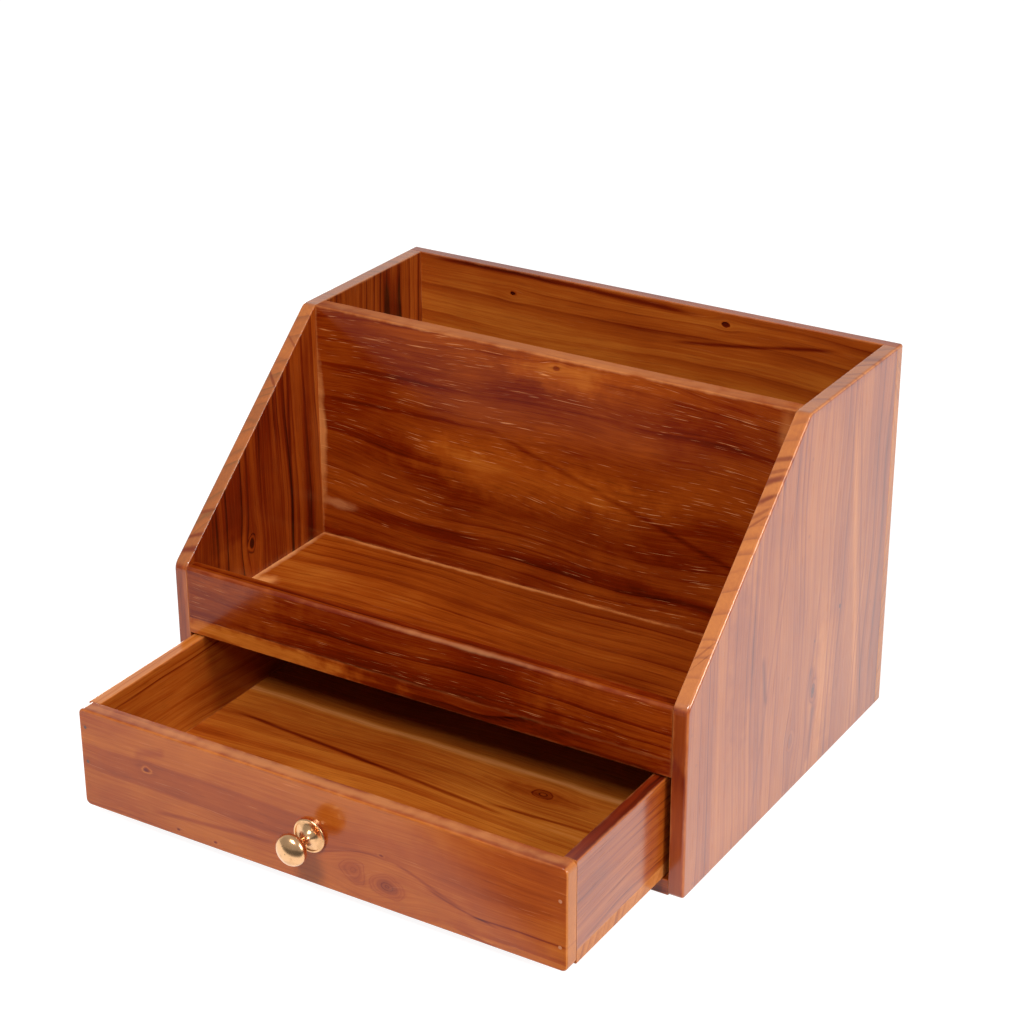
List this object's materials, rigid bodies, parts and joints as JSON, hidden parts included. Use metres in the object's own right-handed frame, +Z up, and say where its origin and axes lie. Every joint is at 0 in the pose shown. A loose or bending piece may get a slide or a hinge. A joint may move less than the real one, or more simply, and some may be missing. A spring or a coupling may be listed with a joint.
{
  "type": "desk organizer with drawer",
  "caption": "Free-standing wooden desk organizer with an open front tray, a deeper rear compartment behind a divider, sloping sides and one drawer with a knob.",
  "frame": {"origin": "middle of the cabinet's footprint, on the surface that it stands on; the drawer, which stands open at rest, isn't counted", "axes": "+X to the right seen from the front, +Y to the back, +Z up; the drawer opens along -Y"},
  "size_m": [0.33, 0.3764, 0.229],
  "materials": {
    "cabinet_wood": "semi-gloss lacquer",
    "drawer_wood": "semi-gloss lacquer",
    "knob_brass": "polished",
    "pin_steel": "dulled under lacquer",
    "screw_steel": "plain"
  },
  "bodies": {
    "cabinet": {"left_side_panel": "cabinet_wood", "right_side_panel": "cabinet_wood", "back_panel": "cabinet_wood", "divider_panel": "cabinet_wood", "tray_shelf": "cabinet_wood", "front_rail": "cabinet_wood", "bottom_panel": "cabinet_wood", "left_side_pins": "pin_steel", "right_side_pins": "pin_steel", "back_panel_pins": "pin_steel"},
    "drawer": {"drawer_front": "drawer_wood", "drawer_left_side": "drawer_wood", "drawer_right_side": "drawer_wood", "drawer_back": "drawer_wood", "drawer_bottom": "drawer_wood", "drawer_front_pins": "pin_steel", "drawer_back_pins": "pin_steel", "drawer_bottom_pins": "pin_steel", "drawer_knob": "knob_brass", "knob_screw": "screw_steel", "knob_washer": "knob_brass"}
  },
  "joints": [
    {"name": "drawer_slide", "type": "slide", "parent": "cabinet", "child": "drawer", "axis": [0, -1, 0], "range_m": [-0.0995, 0.0905]}
  ]
}
